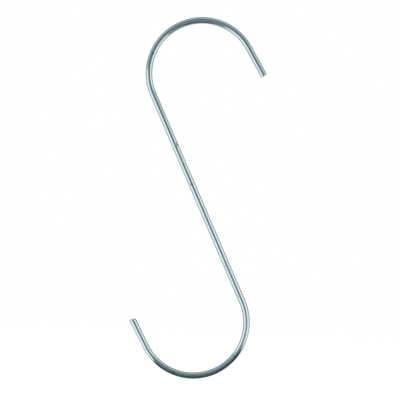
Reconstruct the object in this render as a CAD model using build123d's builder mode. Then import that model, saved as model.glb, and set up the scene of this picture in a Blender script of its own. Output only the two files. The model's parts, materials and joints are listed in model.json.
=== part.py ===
"""Long S hook, bent cold from one length of round steel wire.

A straight shank runs slanting between two bends of the same radius that turn the same way, so the wire
makes an S with one bend open to each side. Past each bend the wire runs on as a short straight tail, which
flares a few degrees outwards so that a bar or an eye finds the mouth. The wire is cropped square at both
tips, and the cut edges are broken.

Frame: the hook hangs in the XZ plane, +Z up. The origin is the inside crown of the upper bend, where the
hook bears on its rail, and the load line drops from it along -Z to the inside crown of the lower bend. The
upper mouth opens to +X and the lower mouth to -X. Millimetres and degrees.
"""

from build123d import *

import os
from math import asin, degrees, sqrt

# Wire
wire_diameter = 4.0
tip_chamfer = 0.3  # broken edge round each cropped end

# Bends
bend_clear_diameter = 60.0  # the thickest bar that fits inside a bend
bend_spacing = 150.0  # between the centres of the two bends, along the load line

# Tails
upper_flare = 5.5  # how far each tail leans away from the shank's direction
lower_flare = 3.2
upper_tail_length = 19.5  # from the end of the bend to the cropped tip
lower_tail_length = 18.5

# Worked out from the sizes above
bend_radius = bend_clear_diameter / 2 + wire_diameter / 2  # to the wire's centreline
shank_lean = degrees(asin(2 * bend_radius / bend_spacing))  # from the load line
shank_length = sqrt(bend_spacing**2 - (2 * bend_radius) ** 2)
waist = (0, -bend_clear_diameter / 2 - bend_spacing / 2)  # the middle of the shank


def bend_and_tail(start, heading, flare, tail_length):
    """The half turn at one end of the shank, less the flare, and the straight tail that follows it."""
    bend = JernArc(start=start, tangent=heading, radius=bend_radius, arc_size=flare - 180)
    Line(bend @ 1, bend @ 1 + tail_length * (bend % 1))


with BuildPart() as s_hook:
    with BuildLine(Plane.XZ) as centreline:
        half_shanks = [
            PolarLine(start=waist, length=shank_length / 2, angle=shank_lean + 90),
            PolarLine(start=waist, length=shank_length / 2, angle=shank_lean - 90),
        ]
        flares = (upper_flare, lower_flare)
        tail_lengths = (upper_tail_length, lower_tail_length)
        for half, flare, tail_length in zip(half_shanks, flares, tail_lengths):
            bend_and_tail(half @ 1, half % 1, flare, tail_length)
    wire_route = centreline.wires()[0]
    with BuildSketch(Plane(origin=wire_route @ 0, z_dir=wire_route % 0)):
        Circle(wire_diameter / 2)
    sweep(path=wire_route)
    chamfer(s_hook.faces().filter_by(GeomType.PLANE).edges(), tip_chamfer)

s_hook.part.label = "s_hook"

os.makedirs("parts", exist_ok=True)
export_step(s_hook.part, "parts/s_hook.step")
print(f"shank {shank_length:.2f} mm long, leaning {shank_lean:.2f} degrees")
print(f"wire {wire_route.length:.1f} mm long, volume {s_hook.part.volume:.0f} mm3, {s_hook.part.bounding_box()}")
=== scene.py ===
# Long S hook of bright zinc plated wire, hanging over a pale studio floor. Metres, Z up.
import json
import math

import bpy
import numpy as np
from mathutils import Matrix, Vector


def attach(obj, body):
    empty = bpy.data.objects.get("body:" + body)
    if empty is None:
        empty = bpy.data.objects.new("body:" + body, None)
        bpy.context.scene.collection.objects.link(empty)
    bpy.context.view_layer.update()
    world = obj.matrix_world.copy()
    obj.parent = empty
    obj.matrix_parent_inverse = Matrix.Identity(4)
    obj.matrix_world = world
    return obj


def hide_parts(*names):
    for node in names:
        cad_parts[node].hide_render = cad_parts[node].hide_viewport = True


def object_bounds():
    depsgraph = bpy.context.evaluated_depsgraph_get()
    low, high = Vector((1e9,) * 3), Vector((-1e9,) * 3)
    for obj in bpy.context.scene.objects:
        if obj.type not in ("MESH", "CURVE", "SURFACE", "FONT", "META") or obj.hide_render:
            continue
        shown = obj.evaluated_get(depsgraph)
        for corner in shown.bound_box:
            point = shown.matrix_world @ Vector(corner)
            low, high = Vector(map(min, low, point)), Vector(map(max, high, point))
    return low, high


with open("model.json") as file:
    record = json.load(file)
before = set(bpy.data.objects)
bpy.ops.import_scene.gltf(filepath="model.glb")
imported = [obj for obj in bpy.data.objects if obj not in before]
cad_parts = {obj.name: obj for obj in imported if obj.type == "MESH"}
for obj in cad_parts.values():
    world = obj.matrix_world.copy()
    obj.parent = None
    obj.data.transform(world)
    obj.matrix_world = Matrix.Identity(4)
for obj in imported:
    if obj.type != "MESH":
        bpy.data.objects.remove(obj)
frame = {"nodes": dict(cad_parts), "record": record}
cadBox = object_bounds()
mounts = {mount["name"]: mount for mount in frame["record"]["mounts"]}
print("frame loaded:", sorted(frame["nodes"]))


class Value:
    # wraps a socket, so that sums and products of sockets read as plain expressions
    def __init__(self, graph, socket):
        self.graph, self.socket = graph, socket

    def calc(self, operation, *others):
        return self.graph.node("ShaderNodeMath", {"operation": operation}, self, *others)

    def __add__(self, other):
        return self.calc("ADD", other)

    def __mul__(self, other):
        return self.calc("MULTIPLY", other)

    def __sub__(self, other):
        return self.calc("SUBTRACT", other)

    def __rsub__(self, other):
        return self.graph.node("ShaderNodeMath", {"operation": "SUBTRACT"}, other, self)

    __radd__, __rmul__ = __add__, __mul__

    def smaller(self, other):
        return self.calc("MINIMUM", other)

    def step(self, low, high):  # 0 below low, 1 above high, smooth between
        settings = {"interpolation_type": "SMOOTHSTEP"}
        return self.graph.node("ShaderNodeMapRange", settings, self, low, high)


class Graph:
    # makes the nodes of one material or world
    def __init__(self, owner):
        owner.use_nodes = True
        self.tree = owner.node_tree
        self.tree.nodes.clear()

    def node(self, kind, settings=None, *inputs, **named):
        # settings are set first, then the inputs in order or by name; gives back the first live output
        made = self.tree.nodes.new(kind)
        for name, setting in (settings or {}).items():
            if name == "stops":
                self.setStops(made.color_ramp.elements, setting)
            else:
                setattr(made, name, setting)
        sockets = [socket for socket in made.inputs if socket.enabled]
        byName = {socket.name.replace(" ", ""): socket for socket in reversed(sockets)}
        for socket, given in list(zip(sockets, inputs)) + [(byName[key], named[key]) for key in named]:
            if isinstance(given, Value):
                self.tree.links.new(given.socket, socket)
            else:
                socket.default_value = given
        live = [socket for socket in made.outputs if socket.enabled]
        return Value(self, live[0]) if live else made

    def setStops(self, elements, stops):
        while len(elements) < len(stops):
            elements.new(1.0)
        for element, (place, colour) in zip(elements, stops):
            element.position, element.color = place, (*colour, 1)

    def output(self, value, name):  # another output of the node that made value
        return Value(self, value.socket.node.outputs[name])

    def attribute(self, name, kind):
        return self.output(self.node("ShaderNodeAttribute", {"attribute_name": name}), kind)

    def blend(self, factor, first, second):  # colour from first to second
        return self.node("ShaderNodeMix", {"data_type": "RGBA"}, Factor=factor, A=first, B=second)

    def stretch(self, vector, scales):
        return self.node("ShaderNodeVectorMath", {"operation": "MULTIPLY"}, vector, scales)

    def noise(self, vector, stretched, scale, detail, roughness=0.5):
        named = {"Vector": self.stretch(vector, stretched), "Scale": scale, "Detail": detail}
        return self.node("ShaderNodeTexNoise", None, Roughness=roughness, **named)


cameraSetup = {
    "sensor": 36.0,  # mm
    "lens": 135.0,
    "frameWidth": 0.2409,  # metres across the picture at the hook
    "aim": (0.0014, 0.0, -0.1062),  # what the middle of the picture shows
    "roll": -2.04,  # degrees, so that the hook's load line leans to the right
}


def addCamera(setup):
    data = bpy.data.cameras.new("camera")
    data.sensor_width, data.lens = setup["sensor"], setup["lens"]
    camera = bpy.data.objects.new("camera", data)
    bpy.context.scene.collection.objects.link(camera)
    distance = setup["frameWidth"] * setup["lens"] / setup["sensor"]
    aimX, aimY, aimZ = setup["aim"]
    camera.location = (aimX, aimY - distance, aimZ)
    camera.rotation_euler = (math.radians(90), math.radians(setup["roll"]), 0)
    bpy.context.scene.camera = camera


addCamera(cameraSetup)
print("camera placed")

hookWire = {
    "stations": 1370,  # rows of points along the wire
    "around": 64,  # points in each row
    "faceRows": 4,  # rows across each cropped face
    "edgeRows": 6,  # rows over the rounded edge of each cropped face
    "cadChamfer": 0.0003,  # the tips' broken edge, which the frame's tip mounts leave out
    "edgeRadius": (0.00030, 0.00028),  # rounding of the cropped edge: upper tip, lower tip
    "cropTilt": (4.0, 11.0),  # degrees that each cropped face leans from square
    "cropInset": 0.0001,  # keeps the rounded edges inside the broken edges of the frame's part
    "cropReach": 0.003,  # over which the lean of the face fades along the wire
    "bendFlattening": 0.012,  # how much thinner the wire is across a bend, as a share of its radius
    "formerMark": 0.00003,  # depth of the flat that the forming pin pressed along the inside of each bend
    "formerSpread": 0.5,  # radians round the wire that the flat reaches to each side
    "easeLength": 0.006,  # over which a bend's marks come in
    "nickMark": 0.7,  # below 1, a nick's dark mark reaches further than its dent
    "bareReach": 0.3,  # bare steel fades out from one edge radius inside the wire's side to this share of it
}

# metres from the upper tip, degrees round the wire (270 faces -Y), length, width, depth
nicks = (
    (0.0916, 268, 0.0013, 0.0008, 0.00018),
    (0.1501, 312, 0.0017, 0.0010, 0.00025),
    (0.1757, 259, 0.0012, 0.0008, 0.00018),
    (0.2290, 238, 0.0008, 0.0005, 0.00007),
    (0.3154, 272, 0.0010, 0.0008, 0.00011),
    (0.3278, 281, 0.0012, 0.0009, 0.00015),
    (0.2060, 60, 0.0014, 0.0008, 0.00015),
    (0.0520, 95, 0.0010, 0.0007, 0.00010),
    (0.3390, 130, 0.0010, 0.0005, 0.00008),
)


def wireSizes(setup):
    # The frame's mounts say where the tips and the two seats are. The upper tail's line runs one bend radius
    # from the bend's centre, which is one inside radius below the rail's seat: that gives the inside radius.
    # The sine of the shank's lean is twice the bend radius over the spacing of the bends' centres, and a
    # bend's length is its radius times its turn.
    upper, lower = mounts["upper_tip"], mounts["lower_tip"]
    wire = upper["dims"]["r_mm"] / 1000
    tails = [mount["dims"]["length_mm"] / 1000 + setup["cadChamfer"] for mount in (upper, lower)]
    place, outwards = np.array(upper["pos_m"]), np.array(upper["axis"])
    tip = place + outwards * (tails[0] - upper["dims"]["length_mm"] / 2000)
    inside = (-wire - place[0] * outwards[2] + place[2] * outwards[0]) / (1 - outwards[0])
    bend = inside + wire
    spacing = mounts["rail_seat"]["pos_m"][2] - mounts["load_seat"]["pos_m"][2] - 2 * inside
    lean = math.asin(2 * bend / spacing)
    shank = math.sqrt(spacing**2 - (2 * bend) ** 2)
    first = math.atan2(-outwards[0], outwards[2])  # headings: 0 points down, and they grow towards +X
    last = math.atan2(lower["axis"][0], -lower["axis"][2])
    lengths = (tails[0], bend * (lean - first), shank, bend * (lean - last), tails[1])
    return wire, tip, lengths, (first, first, lean, lean, last, last)


def smooth(value, low, high):  # 0 below low, 1 above high, smooth between
    share = np.clip((value - low) / (high - low), 0, 1)
    return share * share * (3 - 2 * share)


def tipRows(setup, wire, edge):
    # rows from the middle of a cropped face out over its rounded edge, as distances from the tip and radii:
    # the radius grows evenly across the face, and then follows a quarter circle of the edge's radius
    face = np.linspace(0, wire - edge, setup["faceRows"] + 1)[1:-1]
    turn = np.linspace(0, math.pi / 2, setup["edgeRows"] + 1)[:-1]
    inwards = np.concatenate([face * 0, edge * (1 - np.cos(turn))])
    return inwards, np.concatenate([face, wire - edge * (1 - np.sin(turn))])


def wireSurface(setup):
    # A point's place depends on its distance along the wire from the upper tip and its angle round the wire.
    # The heading stays the same on the straights and turns evenly in the bends. Each row's centre is the sum
    # of the steps before it, and a step is a chord: the arc's length times sin(half turn) / (half turn).
    # From the centre a point stands off by its radius times (cos(angle) * sideways + sin(angle) * Y).
    wire, tip, lengths, headings = wireSizes(setup)
    breaks = np.concatenate([[0], np.cumsum(lengths)])
    total = breaks[-1]
    firstEdge, lastEdge = setup["edgeRadius"]
    firstAlong, firstRadius = tipRows(setup, wire, firstEdge)
    lastAlong, lastRadius = tipRows(setup, wire, lastEdge)
    body = np.linspace(firstEdge, total - lastEdge, setup["stations"])
    along = np.concatenate([firstAlong, body, total - lastAlong[::-1]])
    radius = np.concatenate([firstRadius, np.full(len(body), wire), lastRadius[::-1]])

    heading = np.interp(along, breaks, headings)
    turned, step = np.diff(heading), np.diff(along)
    middle = heading[:-1] + turned / 2
    chord = step * np.sinc(turned / (2 * np.pi))
    start = tip + along[0] * np.array([math.sin(heading[0]), 0, -math.cos(heading[0])])
    steps = np.stack([np.sin(middle), 0 * middle, -np.cos(middle)], 1) * chord[:, None]
    centre = start + np.concatenate([np.zeros((1, 3)), np.cumsum(steps, 0)])
    forward = np.stack([np.sin(heading), 0 * heading, -np.cos(heading)], 1)
    sideways = np.stack([np.cos(heading), 0 * heading, np.sin(heading)], 1)

    # +1 along the upper bend, where sideways is its inside, and -1 along the lower one
    ease = setup["easeLength"]
    inBend = smooth(along, breaks[1], breaks[1] + ease) * smooth(-along, -breaks[2], ease - breaks[2])
    inBend -= smooth(along, breaks[3], breaks[3] + ease) * smooth(-along, -breaks[4], ease - breaks[4])

    angle = np.arange(setup["around"]) * 2 * np.pi / setup["around"]
    s, a = along[:, None], angle[None, :]
    r = radius[:, None] * (1 - setup["bendFlattening"] * abs(inBend)[:, None] * np.cos(a) ** 2)
    fromInside = np.arccos(np.clip(np.cos(a) * np.sign(inBend)[:, None], -1, 1)) / setup["formerSpread"]
    r = r - setup["formerMark"] * abs(inBend)[:, None] * np.exp(-(fromInside**2))

    # a nick is a dent whose depth falls off as a bell curve along and round the wire
    knock = np.zeros_like(r)
    for place, degrees, length, width, depth in nicks:
        apart = (a - math.radians(degrees) + np.pi) % (2 * np.pi) - np.pi
        far = ((s - place) / length * 2) ** 2 + (apart * wire / width * 2) ** 2
        r = r - depth * np.exp(-far)
        knock = np.maximum(knock, np.exp(-far * setup["nickMark"]))

    # the cropped faces lean: points slide along the wire, in from the tips, less and less away from them
    firstTilt, lastTilt = [math.tan(math.radians(tilt)) for tilt in setup["cropTilt"]]
    firstInset, lastInset = [setup["cropInset"] + wire * abs(tilt) for tilt in (firstTilt, lastTilt)]
    reach = setup["cropReach"]
    slide = (firstInset - firstTilt * r * np.cos(a)) * (1 - smooth(s, 0, reach))
    slide = slide - (lastInset - lastTilt * r * np.cos(a)) * smooth(s, total - reach, total)
    offset = sideways[:, None] * np.cos(a)[..., None] + np.array([0, 1, 0]) * np.sin(a)[..., None]
    points = centre[:, None] + forward[:, None] * slide[..., None] + offset * r[..., None]
    straight = np.stack([wire * np.cos(a) + 0 * s, wire * np.sin(a) + 0 * s, s + slide], -1)
    poles = [centre[0] + forward[0] * firstInset, centre[-1] - forward[-1] * lastInset]
    # 1 on the cropped faces, fading out over the first part of their rounded edges
    edge = np.where(along < total / 2, firstEdge, lastEdge)
    cropped = (1 - smooth(radius, wire - edge, wire - edge * setup["bareReach"]))[:, None] + 0 * a
    return points, straight, knock, cropped, np.array(poles), total


def gridFaces(rows, around):
    # squares between neighbouring rows, and a fan of triangles from each end row to its pole
    row, column = np.meshgrid(np.arange(rows - 1), np.arange(around), indexing="ij")
    here, beside = row * around + column, row * around + (column + 1) % around
    squares = np.stack([here, here + around, beside + around, beside], -1).reshape(-1, 4)
    ring = np.arange(around)
    following = (ring + 1) % around
    last = (rows - 1) * around
    firstFan = np.stack([ring, following, np.full(around, rows * around)], 1)
    lastFan = np.stack([last + following, last + ring, np.full(around, rows * around + 1)], 1)
    return squares.tolist() + firstFan.tolist() + lastFan.tolist()


def addWire(setup):
    points, straight, knock, cropped, poles, total = wireSurface(setup)
    rows, around = knock.shape
    places = np.concatenate([points.reshape(-1, 3), poles])
    mesh = bpy.data.meshes.new("hook_wire")
    mesh.from_pydata(places, [], gridFaces(rows, around))
    # where each point would be if the wire were still straight, for patterns that follow it
    ends = [[0, 0, straight[0, :, 2].mean()], [0, 0, straight[-1, :, 2].mean()]]
    unbent = np.concatenate([straight.reshape(-1, 3), ends])
    mesh.attributes.new("unbent", "FLOAT_VECTOR", "POINT").data.foreach_set("vector", unbent.ravel())
    knocks, bare = np.append(knock, [0, 0]), np.append(cropped, [1, 1])  # the two poles come last
    mesh.attributes.new("knock", "FLOAT", "POINT").data.foreach_set("value", knocks)
    mesh.attributes.new("cropped", "FLOAT", "POINT").data.foreach_set("value", bare)
    mesh.shade_smooth()
    mesh.validate()
    wire = bpy.data.objects.new("hook_wire", mesh)
    bpy.context.scene.collection.objects.link(wire)
    return wire, total


hook, wireLength = addWire(hookWire)
print(f"wire made: {wireLength:.4f} m long, {len(hook.data.polygons)} faces")

zinc = {
    "colour": (0.70, 0.83, 0.82, 1),  # zinc with a clear blue finish
    "blueFilm": (0.70, 0.77, 0.87, 1),
    "greenFilm": (0.67, 0.82, 0.77, 1),
    "cutSteel": (0.30, 0.27, 0.25, 1),
    "nickColour": (0.10, 0.12, 0.12, 1),
    # how patterns are stretched across and along the wire, then their scale and detail
    "bluePatches": ((9.0, 9.0, 1.0), 60.0, 3.0),
    "greenPatches": ((7.0, 7.0, 1.4), 35.0, 2.0),
    "drawLines": ((1.0, 1.0, 0.012), 6500.0, 3.0, 0.6),  # and roughness
    "grain": ((1.0, 1.0, 1.0), 5200.0, 2.0),
    "blueRange": (0.42, 0.66),  # of the pattern's value, over which a patch comes in
    "greenRange": (0.50, 0.70),
    "greenShare": 0.8,  # how much of each colour shows where it is strongest
    "cutShare": 0.9,
    "nickShare": 0.9,
    "nickMost": 0.8,
    "roughness": 0.17,
    "drawRoughness": 0.10,  # how far the draw lines and the grain move the roughness
    "grainRoughness": 0.06,
    "nickRoughness": 0.2,  # added to it
    "cutRoughness": 0.25,
    "drawShare": 0.7,  # of the draw lines in the bump, with grain for the rest
    "bumpStrength": 0.25,
    "bumpDepth": 0.00001,
}


def zincMaterial(setup):
    material = bpy.data.materials.new("bright_zinc_wire")
    graph = Graph(material)
    unbent = graph.attribute("unbent", "Vector")
    knock, bare = graph.attribute("knock", "Fac"), graph.attribute("cropped", "Fac")

    blue = graph.noise(unbent, *setup["bluePatches"]).step(*setup["blueRange"])
    green = graph.noise(unbent, *setup["greenPatches"]).step(*setup["greenRange"])
    drawLines = graph.noise(unbent, *setup["drawLines"])
    grain = graph.noise(unbent, *setup["grain"])

    colour = graph.blend(blue, setup["colour"], setup["blueFilm"])
    colour = graph.blend(setup["greenShare"] * green, colour, setup["greenFilm"])
    colour = graph.blend(setup["cutShare"] * bare, colour, setup["cutSteel"])
    dark = (setup["nickShare"] * knock).smaller(setup["nickMost"])
    colour = graph.blend(dark, colour, setup["nickColour"])
    roughness = setup["roughness"] + (drawLines - 0.5) * setup["drawRoughness"]
    roughness += (grain - 0.5) * setup["grainRoughness"]
    roughness += knock * setup["nickRoughness"] + bare * setup["cutRoughness"]
    height = drawLines * setup["drawShare"] + grain * (1 - setup["drawShare"])
    strength, depth = setup["bumpStrength"], setup["bumpDepth"]
    bump = graph.node("ShaderNodeBump", None, Strength=strength, Distance=depth, Height=height)
    surface = graph.node("ShaderNodeBsdfPrincipled", None, BaseColor=colour, Metallic=1.0,
                         Roughness=roughness, Normal=bump)
    graph.node("ShaderNodeOutputMaterial", None, Surface=surface)
    return material


hook.data.materials.append(zincMaterial(zinc))
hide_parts("s_hook")
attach(hook, "root")
print("zinc plated")

studio = {
    "plainLevel": 0.64,  # world light on matt surfaces
    "roomTint": (0.86, 1.0, 1.07),
    # what metal sees of the room, from the camera's side, 0, to the side behind the hook, 1
    "roomLevels": ((0.0, 0.15), (0.13, 0.25), (0.29, 0.53), (0.5, 0.56), (0.6, 0.32), (0.94, 0.32),
                   (0.985, 0.7)),
    "whiteFrom": 0.99,  # where the white begins on that way round
    "floorDrop": 0.50,  # below the hook
    "floorWidth": 12.0,
    "paper": (0.8, 0.8, 0.8, 1),
    "paperGlow": 0.64,  # what brings the paper to white where it is a background
    # name: middle, size along X, Y and Z, level (1 is white); what metal sees of them is a glowing panel
    "softboxes": {
        "softbox_left": ((-0.35, -0.31, -0.1975), (0, 0.66, 0.425), 1.05),
        "softbox_left_low": ((-0.35, -0.31, -0.55), (0, 0.66, 0.28), 1.12),
        "softbox_right": ((0.41, -0.32, -0.12), (0, 0.70, 0.58), 0.98),
        "softbox_right_top": ((0.41, -0.315, 0.235), (0, 0.71, 0.13), 0.62),
    },
    # the same for grey cards, which only metal sees: they stand for the table and the floor under the hook
    "flags": {
        "flag_floor": ((0, 0, -0.70), (12, 12, 0), 0.44),
        "flag_table_front": ((0.171, -0.90, -0.525), (0.858, 1.20, 0), 0.15),
        "flag_table": ((0.171, -0.04, -0.525), (0.858, 0.52, 0), 0.32),
        "flag_below": ((-0.0105, -0.052, -0.235), (0.079, 0.136, 0), 0.085),
        "flag_below_right": ((0.0605, -0.064, -0.235), (0.063, 0.112, 0), 0.012),
    },
}


def addPlane(name, middle, size):  # one of the three sizes is 0, and the plane faces that way
    first, second = [np.eye(3)[axis] * size[axis] / 2 for axis in range(3) if size[axis] > 0]
    corners = [-first - second, first - second, first + second, second - first]
    mesh = bpy.data.meshes.new(name)
    mesh.from_pydata([tuple(middle + corner) for corner in corners], [], [(0, 1, 2, 3)])
    plane = bpy.data.objects.new(name, mesh)
    bpy.context.scene.collection.objects.link(plane)
    return plane


def addCard(name, middle, size, level, tint):  # a glowing plane that shows in metal alone
    card = addPlane(name, middle, size)
    material = bpy.data.materials.new(name)
    graph = Graph(material)
    glow = graph.node("ShaderNodeEmission", None, Color=(*tint, 1), Strength=level)
    graph.node("ShaderNodeOutputMaterial", None, Surface=glow)
    card.data.materials.append(material)
    for rays in ("camera", "diffuse", "transmission", "shadow", "volume_scatter"):
        setattr(card, "visible_" + rays, False)


def addSoftbox(name, middle, size, level):  # a lamp for the light, and a card for its reflection
    data = bpy.data.lights.new(name, "AREA")
    data.shape, data.size, data.size_y = "RECTANGLE", size[1], size[2]
    data.energy = level * math.pi * size[1] * size[2]  # watts for a panel of that brightness
    softbox = bpy.data.objects.new(name, data)
    softbox.location = middle
    softbox.rotation_euler = Vector((-middle[0], 0, 0)).to_track_quat("-Z", "Y").to_euler()
    softbox.visible_camera = softbox.visible_glossy = False
    bpy.context.scene.collection.objects.link(softbox)
    addCard(name + "_glow", middle, size, level, (1, 1, 1))


def backdropRays(graph):  # camera, glossy and transmission: each is 1 for its own rays and 0 for others
    path = graph.node("ShaderNodeLightPath")
    camera, glossy = graph.output(path, "Is Camera Ray"), graph.output(path, "Is Glossy Ray")
    return camera, glossy, graph.output(path, "Is Transmission Ray")


def addFloor(setup):
    low, width = cadBox[0][2] - setup["floorDrop"], setup["floorWidth"]
    floor = addPlane("floor", (0, 0, low), (width, width, 0))
    material = bpy.data.materials.new("floor_paper")
    graph = Graph(material)
    camera, glossy, through = backdropRays(graph)
    paper = graph.node("ShaderNodeBsdfDiffuse", None, Color=setup["paper"])
    background = (camera + glossy + through).smaller(1.0)
    glow = graph.node("ShaderNodeEmission", None, Strength=background * setup["paperGlow"])
    both = graph.node("ShaderNodeAddShader", None, paper, glow)
    graph.node("ShaderNodeOutputMaterial", None, Surface=both)
    floor.data.materials.append(material)


def setWorld(setup):
    # white behind the hook, and for metal a room that darkens towards the camera's side
    world = bpy.data.worlds.new("studio")
    bpy.context.scene.world = world
    graph = Graph(world)
    camera, glossy, through = backdropRays(graph)
    direction = graph.output(graph.node("ShaderNodeTexCoord"), "Generated")
    towardsBack = graph.output(graph.node("ShaderNodeSeparateXYZ", None, direction), "Y") * 0.5 + 0.5
    tint = setup["roomTint"]
    stops = [(place, tuple(level * part for part in tint)) for place, level in setup["roomLevels"]]
    stops.append((setup["whiteFrom"], (1, 1, 1)))
    room = graph.node("ShaderNodeValToRGB", {"stops": stops}, towardsBack)
    plain = (setup["plainLevel"],) * 3 + (1,)
    colour = graph.blend(glossy, plain, room)
    colour = graph.blend((camera + through).smaller(1.0), colour, (1, 1, 1, 1))
    background = graph.node("ShaderNodeBackground", None, Color=colour, Strength=1.0)
    graph.node("ShaderNodeOutputWorld", None, Surface=background)


setWorld(studio)
addFloor(studio)
for name, (middle, size, level) in studio["softboxes"].items():
    addSoftbox(name, middle, size, level)
for name, (middle, size, level) in studio["flags"].items():
    addCard(name, middle, size, level, studio["roomTint"])
bpy.context.scene.view_settings.view_transform = "Standard"
print("studio lit")
